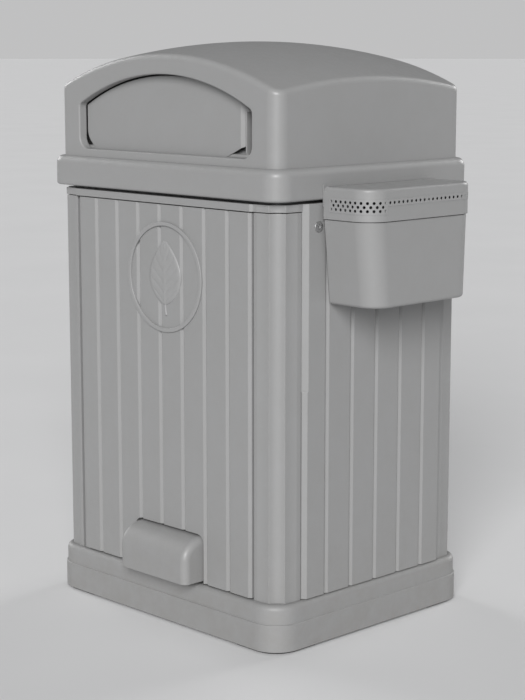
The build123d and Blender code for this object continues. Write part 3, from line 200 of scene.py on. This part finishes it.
def spangled(name, tone, rough, scale, tint=(1.0, 1.0, 1.0)):
    """Zinc-coated steel: crystal patches in two tones, dull, with white bloom in places."""
    shader = Shader(name)
    patch = shader.cells(scale)
    grey = shader.nodes.new("ShaderNodeRGBToBW")
    shader.link(patch, grey.inputs["Color"])
    dark = tuple(tone * 0.82 * t for t in tint)
    light = tuple(tone * 1.12 * t for t in tint)
    drift = shader.ramp(grey.outputs["Val"], dark, light, 0.2, 0.8)
    bloom = shader.span(shader.noise(18.0, 6.0, 0.65), 0.52, 0.75, 0.0, 0.5)
    colour = shader.mix(bloom, drift, (tone * 1.3, tone * 1.3, tone * 1.28))
    shader.link(colour, shader.surface.inputs["Base Color"])
    shine = shader.span(grey.outputs["Val"], 0.2, 0.8, rough - 0.08, rough + 0.12)
    shader.link(shine, shader.surface.inputs["Roughness"])
    shader.surface.inputs["Metallic"].default_value = 0.9
    normal, _ = shader.soft_edges(0.0006)
    shader.bumps(normal, (shader.noise(300.0, 3.0), 0.15, 0.0002))
    return shader.material


def dull(name, tone, rough, grain_scale):
    """Black rubber or polymer with an even grain and grey scuffs."""
    shader = Shader(name)
    scuff = shader.span(shader.noise(44.0, 6.0, 0.7), 0.5, 0.72, 0.0, 0.5)
    drift = shader.ramp(shader.noise(12.0, 4.0), (tone * 0.7,) * 3, (tone * 1.3,) * 3)
    colour = shader.mix(scuff, drift, (tone * 3.0, tone * 3.0, tone * 2.9))
    shader.link(colour, shader.surface.inputs["Base Color"])
    shader.link(shader.span(scuff, 0.0, 0.5, rough, rough + 0.15), shader.surface.inputs["Roughness"])
    normal, _ = shader.soft_edges(0.0008)
    shader.bumps(normal, (shader.noise(grain_scale, 3.0), 0.25, 0.0004))
    return shader.material


grey_tone = 0.275
body_grey = polymer("body_polymer", grey_tone, 0.42)
hood_grey = polymer("hood_polymer", grey_tone * 1.01, 0.40, edge=0.0025, grain=0.18)
plinth_grey = polymer("plinth_polymer", grey_tone * 0.99, 0.45, edge=0.0010, dust=0.36)
box_grey = polymer("ash_box_polymer", grey_tone, 0.38, edge=0.0020, grain=0.14)
pedal_grey = polymer("pedal_polymer", grey_tone, 0.42, edge=0.0020, grain=0.30, dust=0.36)
emblem_grey = polymer("emblem_polymer", grey_tone * 1.05, 0.42, edge=0.0008, grain=0.08)
plate_grey = polymer("coated_plate", grey_tone * 1.03, 0.38, edge=0.0005, grain=0.10)
lock_steel = brushed("lock_steel", 0.50, 0.42, (1.0, 8.0, 8.0))
zinc = spangled("zinc_fittings", 0.52, 0.42, 420.0)
bar_zinc = spangled("zinc_bars", 0.48, 0.45, 260.0, (1.0, 0.98, 0.93))
galvanised = spangled("galvanised_sheet", 0.46, 0.40, 90.0, (0.97, 0.99, 1.0))
bearing_black = dull("bearing_polymer", 0.035, 0.50, 700.0)
pad_rubber = dull("pad_rubber", 0.025, 0.75, 1100.0)

finishes = {
    body_grey: (
        "door side_panel_right side_panel_left back_panel top_frame "
        "post_front_right post_front_left post_back_right post_back_left"
    ),
    hood_grey: "hood collar chute",
    plinth_grey: "base_plinth",
    box_grey: "ash_tub ash_lid ash_hinge_tube",
    pedal_grey: "pedal",
    emblem_grey: "roundel_ring leaf_emblem",
    plate_grey: "stub_plate ash_back_plate",
    lock_steel: "lock_barrel",
    zinc: "hood_screws collar_screws ash_screws lock_cam ash_hinge_pin door_pivot_pins door_keeper",
    bar_zinc: "closing_weight pedal_shaft push_rod shaft_brackets liner_handles",
    galvanised: "liner ash_tin floor_pan",
    bearing_black: "chute_bearings rod_guides",
    pad_rubber: "foot_pads",
}


def paint(piece, material):
    """Put one material on every slot of a piece."""
    if not piece.material_slots:
        piece.data.materials.append(material)
    for entry in piece.material_slots:
        entry.material = material


for material, names in finishes.items():
    for name in names.split():
        paint(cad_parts[name], material)

# ---------------------------------------------------------------- camera
azimuth = math.radians(45.83)
pitch = math.radians(9.745)
camera_place = (2.8534, -2.7584, 1.2446)
sight = Vector((-math.sin(azimuth) * math.cos(pitch), math.cos(azimuth) * math.cos(pitch), -math.sin(pitch)))
camera_data = bpy.data.cameras.new("camera")
camera_data.sensor_fit = "VERTICAL"
camera_data.sensor_height = 36.0
camera_data.lens = 91.68
camera_data.clip_end = 400.0
camera = bpy.data.objects.new("camera", camera_data)
camera.location = camera_place
camera.rotation_euler = sight.to_track_quat("-Z", "Y").to_euler()
bpy.context.scene.collection.objects.link(camera)
bpy.context.scene.camera = camera

# ---------------------------------------------------------------- studio
floor_radius = 150.0
floor_mesh = bpy.data.meshes.new("studio_floor")
floor_shape = bmesh.new()
bmesh.ops.create_circle(floor_shape, cap_ends=True, segments=96, radius=floor_radius)
floor_shape.to_mesh(floor_mesh)
floor_shape.free()
floor = bpy.data.objects.new("studio_floor", floor_mesh)
bpy.context.scene.collection.objects.link(floor)
floor_paint = Shader("studio_floor_paint")
floor_paint.link(
    floor_paint.ramp(floor_paint.noise(1.5, 4.0), (0.70, 0.70, 0.705), (0.72, 0.72, 0.725)),
    floor_paint.surface.inputs["Base Color"],
)
floor_paint.surface.inputs["Roughness"].default_value = 0.85
floor_mesh.materials.append(floor_paint.material)


def soft_sun(name, turn, rise, spread, power):
    """A broad, even light from one direction: degrees round from the door side, degrees up, degrees wide."""
    data = bpy.data.lights.new(name, "SUN")
    data.energy = power
    data.angle = math.radians(spread)
    light = bpy.data.objects.new(name, data)
    around = math.radians(turn)
    up = math.radians(rise)
    away = Vector((math.sin(around) * math.cos(up), -math.cos(around) * math.cos(up), math.sin(up)))
    light.rotation_euler = away.to_track_quat("Z", "Y").to_euler()
    bpy.context.scene.collection.objects.link(light)


soft_sun("key", 40.0, 24.0, 30.0, 3.3)
soft_sun("left", 268.0, 18.0, 25.0, 1.0)
soft_sun("back", 180.0, 18.0, 25.0, 1.1)

world = bpy.data.worlds.new("studio_sky")
world.use_nodes = True
sky = world.node_tree
sky_light = sky.nodes["Background"]
sky_light.inputs["Color"].default_value = (0.80, 0.81, 0.82, 1.0)
sky_light.inputs["Strength"].default_value = 0.20
backdrop = sky.nodes.new("ShaderNodeBackground")
backdrop.inputs["Color"].default_value = (0.80, 0.80, 0.805, 1.0)
backdrop.inputs["Strength"].default_value = 0.66
seen = sky.nodes.new("ShaderNodeLightPath").outputs["Is Camera Ray"]
choice = sky.nodes.new("ShaderNodeMixShader")
sky.links.new(seen, choice.inputs["Fac"])
sky.links.new(sky_light.outputs["Background"], choice.inputs[1])
sky.links.new(backdrop.outputs["Background"], choice.inputs[2])
sky.links.new(choice.outputs["Shader"], sky.nodes["World Output"].inputs["Surface"])
bpy.context.scene.world = world
bpy.context.scene.view_settings.view_transform = "Standard"

# ---------------------------------------------------------------- leaf emblem on the door
leaf_low, leaf_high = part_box("leaf_emblem")
door_plane = leaf_high.y
leaf_x = (leaf_low.x + leaf_high.x) / 2
stem_length = 0.022
blade_low = leaf_low.z + stem_length
blade_length = leaf_high.z - blade_low
half_width = (leaf_high.x - leaf_low.x) / 2
rows = 60
columns = 36
blade_edge = 0.0022
blade_crown = 0.0009
midrib_rise = 0.0008
midrib_width = 0.06
vein_count = 5
vein_slope = 0.30
vein_depth = 0.0011
vein_width = 0.10
buried = 0.0004


def leaf_height(along, across):
    """How far the blade stands off the door: rounded rim, raised midrib, sunk side veins."""
    rim = min(1.0, 6.0 * (1 - abs(across))) ** 0.5 * min(1.0, 14.0 * along, 14.0 * (1 - along)) ** 0.5
    crown = blade_edge + blade_crown * (1 - across * across)
    midrib = midrib_rise * math.exp(-((across / midrib_width) ** 2)) * (1 - along)
    phase = (along - vein_slope * abs(across)) * (vein_count + 1)
    distance = abs(phase - round(phase))
    vein = vein_depth * math.exp(-((distance / vein_width) ** 2)) if 0.08 < abs(across) < 0.86 else 0.0
    return rim * (crown - vein) + midrib


def skin(shape, lines):
    """Join neighbouring lines of points with four-sided faces."""
    for lower, upper in zip(lines, lines[1:]):
        for k in range(len(lower) - 1):
            shape.faces.new((lower[k], lower[k + 1], upper[k + 1], upper[k]))


leaf_shape = bmesh.new()
blade = []
for row in range(rows + 1):
    along = row / rows
    height = blade_low + along * blade_length
    width = half_width * math.sin(math.pi * along**0.82) ** 0.80 + 0.0004
    line = []
    for column in range(columns + 1):
        across = 2.0 * column / columns - 1.0
        point = (leaf_x + across * width, door_plane - leaf_height(along, across), height)
        line.append(leaf_shape.verts.new(point))
    blade.append(line)
skin(leaf_shape, blade)
border = [edge for edge in leaf_shape.edges if edge.is_boundary]
skirt = bmesh.ops.extrude_edge_only(leaf_shape, edges=border)["geom"]
for vertex in (item for item in skirt if isinstance(item, bmesh.types.BMVert)):
    vertex.co.y = door_plane + buried

# the stem: a half-round rod, slightly bent, thinner towards the blade
stem_radius = 0.0030
stem_bend = 0.004
stem_overlap = 0.004
stem_levels = 8
stem_sides = 6
stem = []
for level in range(stem_levels + 1):
    reach = level / stem_levels
    radius = stem_radius * (1 - 0.35 * reach)
    height = leaf_low.z + reach * (stem_length + stem_overlap)
    middle = Vector((leaf_x + stem_bend * (1 - reach) ** 2, door_plane, height))
    line = []
    for k in range(stem_sides + 1):
        turn = math.pi * k / stem_sides
        outwards = Vector((math.cos(turn), -abs(math.sin(turn)), 0))
        line.append(leaf_shape.verts.new(middle + radius * outwards))
    stem.append(line)
skin(leaf_shape, stem)
leaf_shape.faces.new(stem[0])
bmesh.ops.recalc_face_normals(leaf_shape, faces=leaf_shape.faces)
for face in leaf_shape.faces:
    face.smooth = True
leaf_mesh = bpy.data.meshes.new("leaf_relief")
leaf_shape.to_mesh(leaf_mesh)
leaf_shape.free()
leaf = bpy.data.objects.new("leaf_relief", leaf_mesh)
bpy.context.scene.collection.objects.link(leaf)
leaf_mesh.materials.append(emblem_grey)
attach(leaf, "door")
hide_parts("leaf_emblem")
